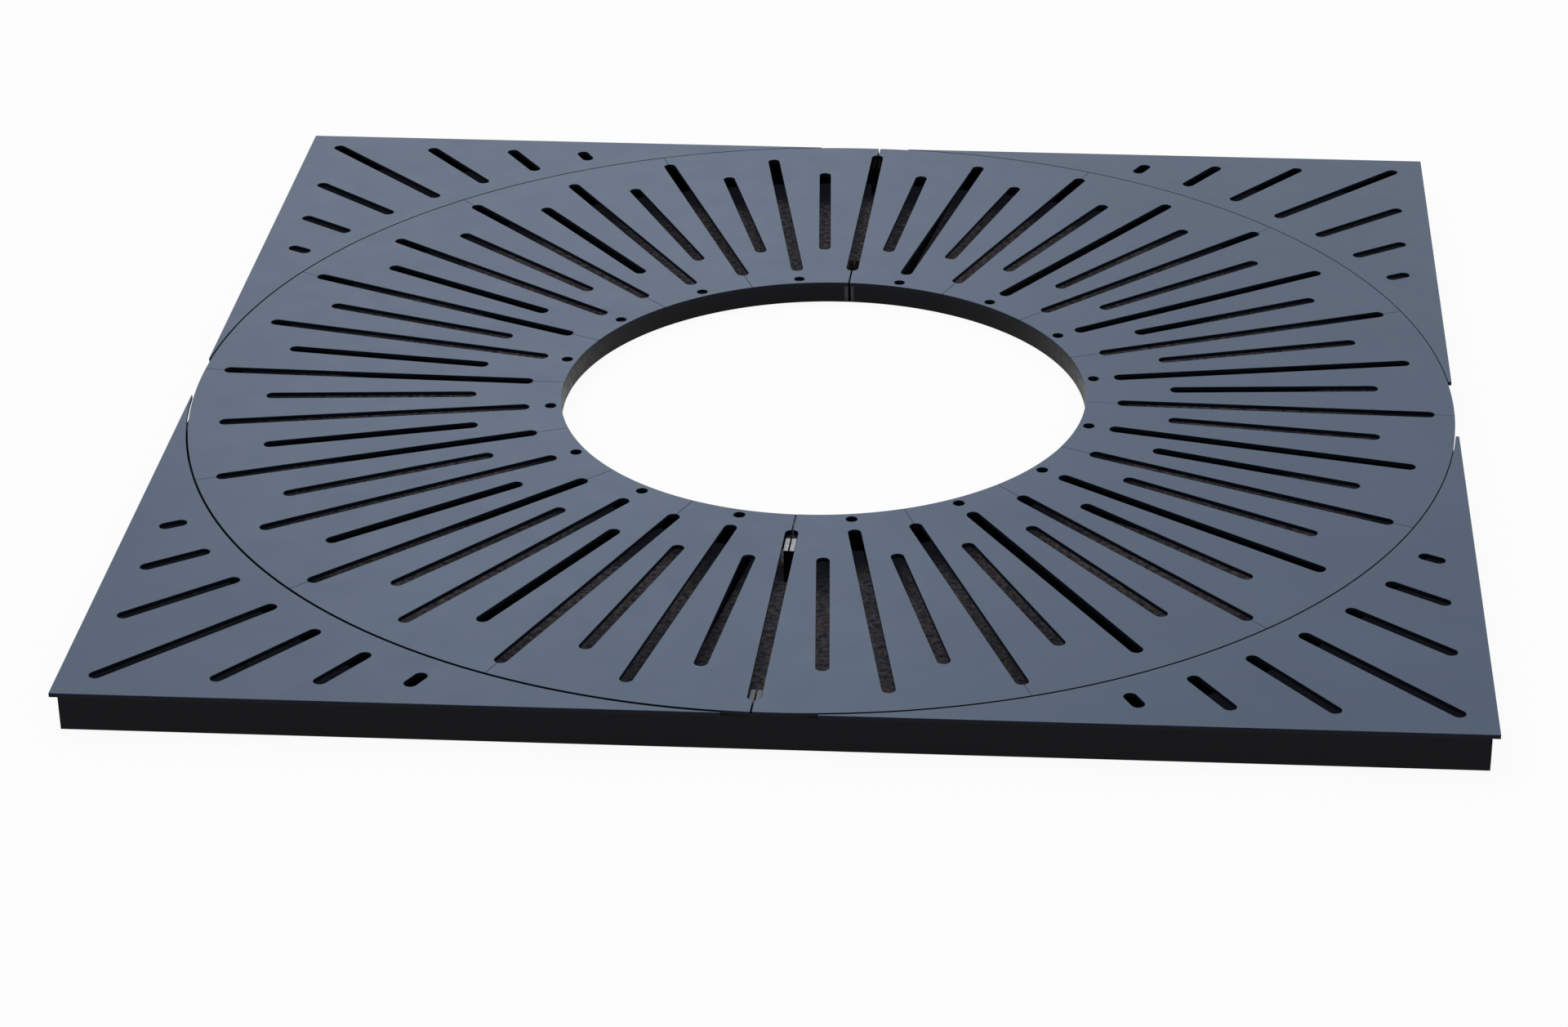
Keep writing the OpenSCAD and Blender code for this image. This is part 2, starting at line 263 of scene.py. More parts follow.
def painted_highlight_steel():
    material, tree, output = new_material("steel, painted highlight")
    place = add(tree, "ShaderNodeTexCoord").outputs["Object"]
    highlight_noise = add(tree, "ShaderNodeTexNoise", {"Vector": place, "Scale": 1 / HIGHLIGHT_MOTTLE, "Detail": 3.0})
    # A light steel colour that stands for a painted highlight.
    base = add(tree, "ShaderNodeMix", {"Factor": highlight_noise.outputs["Fac"], "A": colour("4E5053"),
                                       "B": colour("B4B6B8")}, data_type="RGBA")
    bump = add(tree, "ShaderNodeBump", {"Height": highlight_noise.outputs["Fac"], "Strength": 0.3,
                                        "Distance": 0.1 * MM})
    steel = add(tree, "ShaderNodeBsdfPrincipled",
                {"Base Color": base.outputs["Result"], "Roughness": 0.55, "Metallic": 0.6,
                 "Normal": bump.outputs[0]})
    tree.links.new(steel.outputs[0], output.inputs["Surface"])
    return material


def painted_shade_coat():
    material, tree, output = new_material("near black, painted shade")
    place = add(tree, "ShaderNodeTexCoord").outputs["Object"]
    shade_noise = add(tree, "ShaderNodeTexNoise", {"Vector": place, "Scale": 1 / SHADE_MOTTLE,
                                             "Detail": 4.0, "Roughness": 0.6})
    # A near black that stands for painted shade.
    base = add(tree, "ShaderNodeMix", {"Factor": shade_noise.outputs["Fac"], "A": colour("070707"),
                                       "B": colour("1A1615")}, data_type="RGBA")
    bump = add(tree, "ShaderNodeBump", {"Height": shade_noise.outputs["Fac"], "Strength": 0.5,
                                        "Distance": 0.5 * MM})
    shade_coat = add(tree, "ShaderNodeBsdfPrincipled",
               {"Base Color": base.outputs["Result"], "Roughness": 0.9,
                "Normal": bump.outputs[0], "Specular IOR Level": 0.0})
    tree.links.new(shade_coat.outputs[0], output.inputs["Surface"])
    return material


HIGHLIGHT_STEEL = painted_highlight_steel()
PAINTED_SHADE = painted_shade_coat()
print("materials:", HIGHLIGHT_STEEL.name, "|", PAINTED_SHADE.name)

# %% [markdown]
# ## From CAD solid to finished piece
# A CAD mesh is loose triangles with knife edges, and a real edge never is: deburring and powder
# leave an arris of a few tenths of a millimetre, which catches the light along each slot. A Bevel
# modifier would need clean faces too, so the work is done once in a bmesh. A merged copy joins the
# doubles and makes flat neighbours one face, and every edge that turns a real corner is bevelled.

# %% Merged copies and round edges
SAME_POINT = 0.01 * MM
FLAT_TURN = math.radians(0.5)
CORNER_TURN = math.radians(50)


def merged_copy(node):
    """A bmesh of a CAD node, with its loose triangles joined and its flat faces made one."""
    bm = bmesh.new()
    bm.from_mesh(nodes[node].data)
    bmesh.ops.remove_doubles(bm, verts=bm.verts, dist=SAME_POINT)
    bmesh.ops.dissolve_limit(bm, angle_limit=FLAT_TURN, verts=bm.verts, edges=bm.edges)
    return bm


def round_edges(bm, arris):
    """Bevels every edge that turns a real corner."""
    corners = [e for e in bm.edges if e.calc_face_angle(0) > CORNER_TURN]
    bmesh.ops.bevel(bm, geom=corners, offset=arris, offset_type="OFFSET", affect="EDGES",
                    segments=2, profile=0.5, material=-1, clamp_overlap=True)


trial = merged_copy("frame_bar_front")
print("faces of the merged front bar:", len(trial.faces))
trial.free()

# %% [markdown]
# Every finished piece is made an object in the same way. It is shaded smooth, but stays crisp where
# two faces meet at more than a set angle, and weighted normals keep the large flat faces flat beside
# their narrow bevels. A piece rides on its CAD body, so that it lifts when its plate lifts.

# %% Finished objects
CRISP = math.radians(35)


def as_piece(bm, name, body, materials, crisp=CRISP):
    """Makes an object of a bmesh, which rides on a body and takes its finish from a slot."""
    mesh = bpy.data.meshes.new(name)
    bm.to_mesh(mesh)
    bm.free()
    for material in materials:
        mesh.materials.append(material)
    mesh.shade_smooth()
    mesh.set_sharp_from_angle(angle=crisp)
    piece = bpy.data.objects.new(name, mesh)
    bpy.context.scene.collection.objects.link(piece)
    piece.modifiers.new("weighted normals", "WEIGHTED_NORMAL").keep_sharp = True
    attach(piece, body)
    return piece


print("faces stay crisp past", round(math.degrees(CRISP)), "degrees")

# %% [markdown]
# ## The plates
# Sixteen sectors and four corners lie on the carrier, and each lifts off by itself. Top, upper
# arris and underside of a plate carry the satin coat. The upright walls and the arris below them
# take the laser-cut wall, whose darker colour is painted shade. A face's own normal tells which
# is which, so no plate needs its faces picked by hand.

# %% Sector plates and corner plates
PLATE_ARRIS = 0.35 * MM
TOP_SLOPE = 0.3
FLAT_BELOW = -0.99
SHADES = (0.35, 0.65)
random.seed(5)


def finished_plate(node, body):
    bm = merged_copy(node)
    round_edges(bm, PLATE_ARRIS)
    # Walls and the lower arris take the cut-wall material and its painted shade.
    for face in bm.faces:
        satin = face.normal.z > TOP_SLOPE or face.normal.z < FLAT_BELOW
        face.material_index = 0 if satin else 1
    piece = as_piece(bm, node + "_finished", body, [COAT, SHADED_CUT_WALL])
    shade = piece.data.attributes.new("shade", "FLOAT", "POINT")
    value = random.uniform(*SHADES)
    shade.data.foreach_set("value", [value] * len(piece.data.vertices))
    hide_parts(node)
    return piece


plates = [finished_plate(f"sector_plate_{i + 1:02}", f"sector_{i + 1:02}") for i in range(SECTORS)]
plates += [finished_plate("corner_plate_" + c, "corner_" + c) for c in CORNERS]
print("finished plates:", len(plates), "faces:", sum(len(p.data.polygons) for p in plates))

# %% [markdown]
# ## The carrier
# Four upright flats make the square, bent flats cross its corners, two rings and sixteen radial bars
# carry the sectors, and locating tabs from the same bar hang under every plate. All are sheared or
# sawn from stock and keep the slightly wider arris of the rolling mill, so one function finishes
# them all.

# %% Bars, seats and tabs
BAR_ARRIS = 0.5 * MM


def finished_bar(node, body):
    bm = merged_copy(node)
    round_edges(bm, BAR_ARRIS)
    piece = as_piece(bm, node + "_finished", body, [BLACK])
    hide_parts(node)
    return piece


bars = [finished_bar("frame_bar_" + end, "carrier") for end in ("front", "back", "left", "right")]
bars += [finished_bar("corner_seat_" + c, "carrier") for c in CORNERS]
bars += [finished_bar("radial_bars_" + half, "carrier") for half in ("left", "right")]
bars += [finished_bar(f"sector_tabs_{i + 1:02}", f"sector_{i + 1:02}") for i in range(SECTORS)]
bars += [finished_bar("corner_tabs_" + c, "corner_" + c) for c in CORNERS]
print("finished bars and tabs:", len(bars))

# %% [markdown]
# Each ring is two halves, whose ends bend into lugs that are bolted together. The rings are finished
# as the bars are, and then the joints are marked on them: the lugs' top edges take a painted
# highlight at the front of the inner ring, and painted shade at the back. Plane cuts across the lugs,
# clear of the bends, give these stretches their ends. A cut is easier than a mask, and it stays sharp
# however close the camera comes.

# %% Rings
LUG_REACH = 6.5 * MM
HIGHLIGHT_FROM = 361 * MM
BEND_ROOM = 9 * MM
MIDDLE_R = (RING_OUT_R + RIM_IN_R) / 2
FROM_ROUND = AT_ROUND.inverted()
ROUND_AXES = AT_ROUND.to_3x3()


def finish_of_ring_face(face):
    """0 for the black coat, 1 for the painted highlight and 2 for the painted shade."""
    middle = FROM_ROUND @ face.calc_center_median()
    if abs(middle.x) > LUG_REACH or face.normal.z < TOP_SLOPE:
        return 0
    # Lug tops behind the middle take the painted shade, and those at the front of the inner ring the
    # painted highlight.
    if middle.y > 0:
        return 2
    return 1 if HIGHLIGHT_FROM < -middle.y < MIDDLE_R else 0


def finished_ring(node, cuts):
    bm = merged_copy(node)
    round_edges(bm, BAR_ARRIS)
    for y in cuts:
        whole = bm.verts[:] + bm.edges[:] + bm.faces[:]
        bmesh.ops.bisect_plane(bm, geom=whole, plane_co=AT_ROUND @ Vector((0, y, 0)),
                               plane_no=ROUND_AXES @ Vector((0, 1, 0)))
    for face in bm.faces:
        face.material_index = finish_of_ring_face(face)
    piece = as_piece(bm, node + "_finished", "carrier",
                     [BLACK, HIGHLIGHT_STEEL, PAINTED_SHADE])
    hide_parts(node)
    return piece


inner_cuts = (-HIGHLIGHT_FROM, RING_OUT_R + BEND_ROOM)
outer_cuts = (BEND_ROOM - RIM_IN_R, RIM_IN_R - BEND_ROOM)
rings = []
for half in ("left", "right"):
    rings.append(finished_ring("inner_ring_" + half, inner_cuts))
    rings.append(finished_ring("outer_ring_" + half, outer_cuts))
for piece in rings:
    marks = [p.material_index for p in piece.data.polygons]
    print(piece.name, "painted highlight faces:", marks.count(1), "painted shade faces:", marks.count(2))

# %% [markdown]
# The bends of the inner ring show in the opening, two round bars side by side. They carry a painted
# highlight: grey mixed into the black coat, strongest a little beside the joint and fading out to
# both sides, so it is a number on each point of the mesh. The tops of the front lugs of the outer
# ring carry the same painted highlight, but evenly.
# The tops of the front lugs of the outer ring are rubbed in the same way, but evenly.

# %% Painted highlights on the rings
HIGHLIGHT_AT = 2.7 * MM
HIGHLIGHT_HALF_WIDTH = 3.8 * MM
BEND_DEPTH = 6 * MM
TOP_EDGE = BAR_H - BAR_ARRIS / 2


def painted_highlight_at(point):
    """How much painted highlight a point of a ring takes, from 0 to 1."""
    at = FROM_ROUND @ point
    if abs(abs(at.y) - RING_IN_R) < BEND_DEPTH:
        return max(0, 1 - abs(abs(at.x) - HIGHLIGHT_AT) / HIGHLIGHT_HALF_WIDTH)
    on_lug = MIDDLE_R < -at.y < RIM_IN_R - BEND_ROOM / 2 and abs(at.x) < LUG_REACH
    return 1 if on_lug and at.z > TOP_EDGE else 0


for piece in rings:
    wear_and_highlight = piece.data.attributes.new("wear_and_highlight", "FLOAT", "POINT")
    values = [painted_highlight_at(vert.co) for vert in piece.data.vertices]
    wear_and_highlight.data.foreach_set("value", values)
    print(piece.name, "painted highlight points:", sum(value > 0 for value in values))

# %% [markdown]
# ## Welds
# The carrier is welded by hand: upright fillets run down both sides of every radial bar, at the
# ends of the corner seats and in the corners of the frame. A bead is a row of small frozen ripples,
# one for each dip of the wire. A curve with a round bevel would be smooth, so here a short
# eight-sided rod is cut into rings, and every second ring is drawn in a little. Its axis lies on the
# corner line of the two walls, so half of it or more is buried, as a real fillet is melted into both.

# %% One weld bead
RIPPLE = 1.6 * MM
RIPPLE_DEPTH = 0.14
BEAD_TAPER = 0.6
BEAD_SIDES = 8


def bead_mesh(name, length, radius):
    """A straight rippled bead along Z, centred on the origin."""
    bm = bmesh.new()
    bmesh.ops.create_cone(bm, cap_ends=True, segments=BEAD_SIDES, radius1=radius, radius2=radius,
                          depth=length)
    long_edges = [e for e in bm.edges if e.calc_length() > length / 2]
    ripples = 2 * round(length / RIPPLE / 2)
    bmesh.ops.subdivide_edges(bm, edges=long_edges, cuts=ripples - 1, use_grid_fill=True)
    for vert in bm.verts:
        step = round((vert.co.z / length + 0.5) * ripples)
        thin = BEAD_TAPER if step in (0, ripples) else 1 - RIPPLE_DEPTH * (step % 2)
        vert.co.x *= thin
        vert.co.y *= thin
    mesh = bpy.data.meshes.new(name)
    bm.to_mesh(mesh)
    bm.free()
    return mesh


UPRIGHT_BEAD_R = 3 * MM
UPRIGHT_BEAD_END = 4.5 * MM
UPRIGHT_BEAD_L = BAR_H - 2 * UPRIGHT_BEAD_END
upright_bead = bead_mesh("upright_bead", UPRIGHT_BEAD_L, UPRIGHT_BEAD_R)
print("bead faces:", len(upright_bead.polygons))

# %% [markdown]
# The same bead is laid many times, so it is made once and copied in with a matrix for each place.
# A place is given in plan. For the round part it goes through the frame of that part, which holds
# its small turn and its place in the square.

# %% Copies at places


def add_copies(bm, mesh, places):
    """Adds a copy of a mesh at each place, given as a matrix."""
    for place in places:
        first = len(bm.verts)
        bm.from_mesh(mesh)
        bm.verts.ensure_lookup_table()
        bmesh.ops.transform(bm, matrix=place, verts=bm.verts[first:])


def upright(x, y):
    """The place of an upright bead at a point of the plan, halfway up the bars."""
    return Matrix.Translation((x, y, BAR_H / 2))


def on_round(angle, x, y):
    """The same for a point of the round part, in a frame turned by an angle."""
    return AT_ROUND @ Matrix.Rotation(angle, 4, "Z") @ upright(x, y)


print("helpers:", add_copies.__name__, upright.__name__, on_round.__name__)

# %% [markdown]
# The corner lines come from the frame's own boxes: each radial bar meets both rings, each corner seat
# meets two frame bars, and the four frame bars meet at the corners. Where the front and back bars
# close over the ends of the side bars, the outer seam is a flatter bead, ground nearly flush.

# %% Welds of the carrier
SLOT_TURN = SECTOR_TURN / 4
SEAT_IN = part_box("corner_seat_back_right")[0]
SEAT_IN_R = math.hypot(FRAME_IN_X, SEAT_IN.y)
SEAT_OUT_R = SEAT_IN_R + BAR_T
SEAM_BEAD_SINK = 2.2 * MM

places = []
for i in range(SECTORS):
    angle = (i + 0.5) * SECTOR_TURN + SLOT_TURN / 2
    for r in (RING_OUT_R, RIM_IN_R):
        places += [on_round(angle, r, side * BAR_T / 2) for side in (-1, 1)]
for sx in (-1, 1):
    for sy in (-1, 1):
        for r in (SEAT_IN_R, SEAT_OUT_R):
            places.append(upright(sx * FRAME_IN_X, sy * math.sqrt(r ** 2 - FRAME_IN_X ** 2)))
            places.append(upright(sx * math.sqrt(r ** 2 - FRAME_IN_Y ** 2), sy * FRAME_IN_Y))
        places.append(upright(sx * FRAME_IN_X, sy * FRAME_IN_Y))
        places.append(upright(sx * (FRAME_IN_X + BAR_T - SEAM_BEAD_SINK), sy * FRAME_IN_Y))
bm = bmesh.new()
add_copies(bm, upright_bead, places)
as_piece(bm, "carrier_welds", "carrier", [BLACK])
print("welds on the carrier:", len(places))

# %% [markdown]
# Each locating tab is welded to its plate by one short bead on the side that faces away from the ring
# or bar that it locates on, so that the other side stays a clean stop. A sector plate has four tabs,
# two beside each ring. These beads are lifted with their plate, so each plate has a piece of its own.

# %% Welds of the sector tabs
TAB_W = 20 * MM
TAB_CLEARANCE = 1 * MM
TAB_BEAD_INSET = 2 * MM
TAB_BEAD_R = 2.3 * MM
TAB_BEAD_L = TAB_W - 2 * TAB_BEAD_INSET
ALONG_Y = Matrix.Rotation(math.pi / 2, 4, "X")
ALONG_X = Matrix.Rotation(math.pi / 2, 4, "Y")

tab_bead = bead_mesh("tab_bead", TAB_BEAD_L, TAB_BEAD_R)


def tab_welds(name, body, places):
    bm = bmesh.new()
    add_copies(bm, tab_bead, places)
    return as_piece(bm, name, body, [BLACK])


inner_r = RING_OUT_R + TAB_CLEARANCE + BAR_T
outer_r = RIM_IN_R - TAB_CLEARANCE - BAR_T
welds = []
for i in range(SECTORS):
    middle = (i + 0.5) * SECTOR_TURN
    places = [AT_ROUND @ Matrix.Rotation(middle + off, 4, "Z")
              @ Matrix.Translation((r, 0, BAR_H)) @ ALONG_Y
              for off in (-SLOT_TURN, SLOT_TURN) for r in (inner_r, outer_r)]
    welds.append(tab_welds(f"sector_tab_welds_{i + 1:02}", f"sector_{i + 1:02}", places))
print("pieces of sector tab welds:", len(welds), "faces each:", len(welds[0].data.polygons))

# %% [markdown]
# A corner plate has two tabs, one inside each frame bar. The box of a corner's tabs reaches from the
# near end of each tab to the bars, so it gives how far along the bars they lie.

# %% Welds of the corner tabs
for corner in CORNERS:
    low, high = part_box("corner_tabs_" + corner)
    sx = 1 if high.x > 0 else -1
    sy = 1 if high.y > 0 else -1
    far_x = FRAME_IN_X - TAB_CLEARANCE - BAR_T
    far_y = FRAME_IN_Y - TAB_CLEARANCE - BAR_T
    along = min(abs(low.x), abs(high.x)) + TAB_W / 2
    places = [Matrix.Translation((sx * far_x, sy * along, BAR_H)) @ ALONG_Y,
              Matrix.Translation((sx * along, sy * far_y, BAR_H)) @ ALONG_X]
    welds.append(tab_welds("corner_tab_welds_" + corner, "corner_" + corner, places))
print("pieces of tab welds:", len(welds))

# %% [markdown]
# ## Joint bolts
# The two halves of the round carrier are bolted together through their lugs: M12 bolts, zinc plated.
# Zinc plating is a thin metal skin with a faint cloudy passivation, a few millimetres from cloud to
# cloud, so it is bright but never a mirror. It keeps the default IOR of a metal, and one noise moves
# both its colour and its gloss. At the back the same bolts take the near-black painted shade of the
# back lug tops instead.

# %% Zinc plating
PASSIVATION_CLOUD = 6 * MM
ZINC_ROUGHNESS = (0.24, 0.42)


def zinc_plating():
    material, tree, output = new_material("zinc-plated steel")
    place = add(tree, "ShaderNodeTexCoord").outputs["Object"]
    cloud = add(tree, "ShaderNodeTexNoise", {"Vector": place, "Scale": 1 / PASSIVATION_CLOUD,
                                             "Detail": 3.0})
    base = add(tree, "ShaderNodeMix", {"Factor": cloud.outputs["Fac"], "A": colour("A9ADB2"),
                                       "B": colour("C6C8C9")}, data_type="RGBA")
    gloss = add(tree, "ShaderNodeMapRange",
                {"Value": cloud.outputs["Fac"], "From Min": SHEEN_NOISE[0],
                 "From Max": SHEEN_NOISE[1], "To Min": ZINC_ROUGHNESS[0],
                 "To Max": ZINC_ROUGHNESS[1]})
    metal = add(tree, "ShaderNodeBsdfPrincipled",
                {"Base Color": base.outputs["Result"], "Roughness": gloss.outputs[0],
                 "Metallic": 1.0})
    tree.links.new(metal.outputs[0], output.inputs["Surface"])
    return material


ZINC = zinc_plating()
print("nodes in the zinc:", len(ZINC.node_tree.nodes))

# %% [markdown]
# A hexagon on a lathe-turned bar end gets a round chamfer, so its flats end in shallow arcs. A plain
# bevel can't give them. A ring of 36 points pushed out to the hexagon's outline, whose height drops
# with its distance from the axis, gives exactly that curve when it is bridged to the round face.

# %% Hexagons from rings
HEX_POINTS = 36
CHAMFER_SLOPE = math.tan(math.radians(30))


def ring(bm, z, radius):
    """A round ring of edges at a height."""
    made = bmesh.ops.create_circle(bm, segments=HEX_POINTS, radius=radius,
                                   matrix=Matrix.Translation((0, 0, z)))
    return list({e for v in made["verts"] for e in v.link_edges})


def hex_ring(bm, z, half_flats, face_radius=None, down=1):
    """A hexagonal ring at a height. With a face radius its corners drop along a chamfer."""
    edges = ring(bm, z, half_flats)
    for vert in {v for e in edges for v in e.verts}:
        angle = math.atan2(vert.co.y, vert.co.x) % (math.pi / 3) - math.pi / 6
        vert.co.xy *= 1 / math.cos(angle)
        if face_radius:
            vert.co.z -= down * (vert.co.xy.length - face_radius) * CHAMFER_SLOPE
    return edges


def bridge(bm, loops):
    """Joins each ring to the next with a band of faces."""
    for one, other in zip(loops, loops[1:]):
        bmesh.ops.bridge_loops(bm, edges=one + other)


def mesh_from(bm, name):
    """Closes a template: merged, with its normals out."""
    bmesh.ops.remove_doubles(bm, verts=bm.verts, dist=SAME_POINT)
    bmesh.ops.recalc_face_normals(bm, faces=bm.faces)
    mesh = bpy.data.meshes.new(name)
    bm.to_mesh(mesh)
    bm.free()
    return mesh


print("points in a hexagon's ring:", HEX_POINTS)

# %% [markdown]
# A thread is one tooth profile that climbs as it turns. A zigzag line of teeth is spun once about
# the axis while it rises by one pitch, so every tooth ends where the next began, and the doubles are
# merged. A metric thread on a bolt is 0.6134 of its pitch deep. Two plane cuts then square off the
# ends. The Screw modifier would do the climbing too, but a bmesh lets the ends be cut and chamfered
# in the same place.

# %% Threaded shank
BOLT_R = 6 * MM
PITCH = 1.75 * MM
DEPTH_SHARE = 0.6134
THREAD_DEPTH = DEPTH_SHARE * PITCH
THREAD_STEPS = 24
THREAD_CHAMFER = 1 * MM


def threaded_shank(bm, z0, z1):
    teeth = math.ceil((z1 - z0) / PITCH) + 2
    line = []
    for k in range(2 * teeth + 1):
        radius = BOLT_R - THREAD_DEPTH * (k % 2)
        line.append(bm.verts.new((radius, 0, z0 - 2 * PITCH + k * PITCH / 2)))
    profile = line + [bm.edges.new(pair) for pair in zip(line, line[1:])]
    bmesh.ops.spin(bm, geom=profile, cent=(0, 0, 0), axis=(0, 0, 1), angle=2 * math.pi,
                   dvec=(0, 0, PITCH / THREAD_STEPS), steps=THREAD_STEPS, use_merge=False)
    bmesh.ops.remove_doubles(bm, verts=bm.verts, dist=SAME_POINT)
    for z, way in ((z0, -1), (z1, 1)):
        geom = bm.verts[:] + bm.edges[:] + bm.faces[:]
        bmesh.ops.bisect_plane(bm, geom=geom, plane_co=(0, 0, z), plane_no=(0, 0, way),
                               clear_outer=True)
    rims = [e for e in bm.edges if e.is_boundary]
    bmesh.ops.holes_fill(bm, edges=rims, sides=0)
    for vert in bm.verts:
        most = BOLT_R - THREAD_DEPTH + max(0, z1 - vert.co.z)
        if vert.co.z > z1 - THREAD_CHAMFER and vert.co.xy.length > most:
            vert.co.xy *= most / vert.co.xy.length


print("thread pitch:", round(PITCH / MM, 2), "mm, depth:", round(THREAD_DEPTH / MM, 2), "mm")

# %% [markdown]
# Along its axis a bolt has its head, a washer, both lugs, another washer and the nut, with the end of
# the thread past it. The sizes are those of the standard M12 pieces, as packed. Head and shank are
# separate closed shells in one mesh, because a real forged head would hide the join anyway.

# %% Bolt and nut
HALF_FLATS = 9 * MM
HEAD_H = 7.5 * MM
WASHER_FACE = 8.5 * MM
NUT_H = 10.8 * MM
SHANK_END = 21.5 * MM
FACE_SHARE = 0.95
FACE_R = HALF_FLATS * FACE_SHARE
BORE_R = 6.1 * MM

bm = bmesh.new()
threaded_shank(bm, -WASHER_FACE - HEAD_H / 2, SHANK_END)
end, under = -WASHER_FACE - HEAD_H, -WASHER_FACE
loops = [ring(bm, end, FACE_R), hex_ring(bm, end, HALF_FLATS, FACE_R, down=-1),
         hex_ring(bm, under, HALF_FLATS)]
bmesh.ops.edgeloop_fill(bm, edges=loops[0])
bmesh.ops.edgeloop_fill(bm, edges=loops[2])
bridge(bm, loops)
bolt = mesh_from(bm, "bolt")

bm = bmesh.new()
low, high = WASHER_FACE, WASHER_FACE + NUT_H
bridge(bm, [ring(bm, low, BORE_R), ring(bm, low, FACE_R),
            hex_ring(bm, low, HALF_FLATS, FACE_R, down=-1),
            hex_ring(bm, high, HALF_FLATS, FACE_R), ring(bm, high, FACE_R),
            ring(bm, high, BORE_R)])
bore = [e for e in bm.edges if e.is_boundary]
bmesh.ops.bridge_loops(bm, edges=bore)
nut = mesh_from(bm, "nut")
print("bolt faces:", len(bolt.polygons), "nut faces:", len(nut.polygons))

# %% [markdown]
# The four joints lie on the split line of the round part: one on each side at the inner ring, and
# one on each side at the outer ring. The washers keep their CAD shape and only lose their knife edge.

# %% Bolts, nuts and washers at the joints
JOINT_RS = (372 * MM, 713 * MM)
WASHER_ARRIS = 0.3 * MM
HEX_CRISP = math.radians(25)


def zinc_piece(bm, node, crisp):
    """Finishes a kind of joint hardware: zinc at the front, and painted shade at the back."""
    # Hardware behind the middle takes the near-black painted shade.
    for face in bm.faces:
        face.material_index = 1 if face.calc_center_median().y > 0 else 0
    piece = as_piece(bm, node + "_finished", "carrier", [ZINC, PAINTED_SHADE], crisp)
    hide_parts(node)
    return piece


joints = [AT_ROUND @ Matrix.Translation((0, side * r, BAR_H / 2)) @ ALONG_X
          for r in JOINT_RS for side in (-1, 1)]
for mesh, node in ((bolt, "joint_bolts"), (nut, "joint_nuts")):
    bm = bmesh.new()
    add_copies(bm, mesh, joints)
    zinc_piece(bm, node, HEX_CRISP)

bm = merged_copy("joint_washers")
round_edges(bm, WASHER_ARRIS)
washers = zinc_piece(bm, "joint_washers", CRISP)
print("joints:", len(joints), "washer faces:", len(washers.data.polygons))

# %% [markdown]
# ## Camera
# The photograph was taken from the front at about 28 degrees above the ground, a little to the right
# of the middle, through a long lens. These values come from lines and slots of the grate that were
# matched with their places in the picture. The picture is cropped, so its principal point lies right
# of its centre, and the lens shift repeats that.

# %% Camera at the photograph's viewpoint
IMAGE_W_PX = 1920
FOCAL_PX = 4974
PRINCIPAL_X_PX = 1160
SENSOR_MM = 36
CAMERA_PLACE = Vector((0.3439, -4.3361, 2.1849))
CAMERA_AZIMUTH = math.radians(-2.585)
CAMERA_ELEVATION = math.radians(27.904)
CAMERA_ROLL = math.radians(0.330)

lens = bpy.data.cameras.new("camera")
lens.sensor_width = SENSOR_MM
lens.lens = FOCAL_PX / IMAGE_W_PX * SENSOR_MM
lens.shift_x = (IMAGE_W_PX / 2 - PRINCIPAL_X_PX) / IMAGE_W_PX
camera = bpy.data.objects.new("camera", lens)
bpy.context.scene.collection.objects.link(camera)
camera.matrix_world = (Matrix.Translation(CAMERA_PLACE)
                       @ Matrix.Rotation(-CAMERA_AZIMUTH, 4, "Z")
                       @ Matrix.Rotation(math.pi / 2 - CAMERA_ELEVATION, 4, "X")
                       @ Matrix.Rotation(CAMERA_ROLL, 4, "Z"))
bpy.context.scene.camera = camera
print("lens:", round(lens.lens, 1), "mm, shift:", round(lens.shift_x, 4))

# %% [markdown]
# ## Floor
# A plain pale floor runs past the edge of every view. Cameras, gloss and glass see mostly its own
# white, and the rest of its brightness is the light that falls on it, so the grate's shadow stays.
# The world uses the same test for its own white, so it is a function.

# %% Pale floor
FLOOR_SIZE = 40.0
OWN_WHITE = 0.93


def seen_by_eye(tree):
    """1 for camera, glossy and transmission rays, and 0 for the light that the floor throws."""
    path = add(tree, "ShaderNodeLightPath")
    gloss = add(tree, "ShaderNodeMath", {0: path.outputs["Is Camera Ray"],
                                         1: path.outputs["Is Glossy Ray"]}, operation="MAXIMUM")
    return add(tree, "ShaderNodeMath", {0: gloss.outputs[0],
                                        1: path.outputs["Is Transmission Ray"]},
               operation="MAXIMUM").outputs[0]


def pale_floor():
    material, tree, output = new_material("plain pale floor")
    lit = add(tree, "ShaderNodeBsdfDiffuse", {"Color": colour("F2F2F2")})
    white = add(tree, "ShaderNodeEmission", {"Color": colour("FFFFFF"), "Strength": 1.0})
    share = add(tree, "ShaderNodeMath", {0: seen_by_eye(tree), 1: OWN_WHITE},
                operation="MULTIPLY")
    mixed = add(tree, "ShaderNodeMixShader", {0: share.outputs[0], 1: lit.outputs[0],
                                              2: white.outputs[0]})
    tree.links.new(mixed.outputs[0], output.inputs["Surface"])
    return material


def stage_piece(bm, name, material):
    """Makes an object of a bmesh that rides on no body of the grate."""
    mesh = bpy.data.meshes.new(name)
    bm.to_mesh(mesh)
    bm.free()
    mesh.materials.append(material)
    piece = bpy.data.objects.new(name, mesh)
    bpy.context.scene.collection.objects.link(piece)
    return piece


bm = bmesh.new()
bmesh.ops.create_grid(bm, x_segments=1, y_segments=1, size=FLOOR_SIZE / 2)
FLOOR_COAT = pale_floor()
stage_piece(bm, "floor", FLOOR_COAT)
print("floor:", FLOOR_SIZE, "m wide")

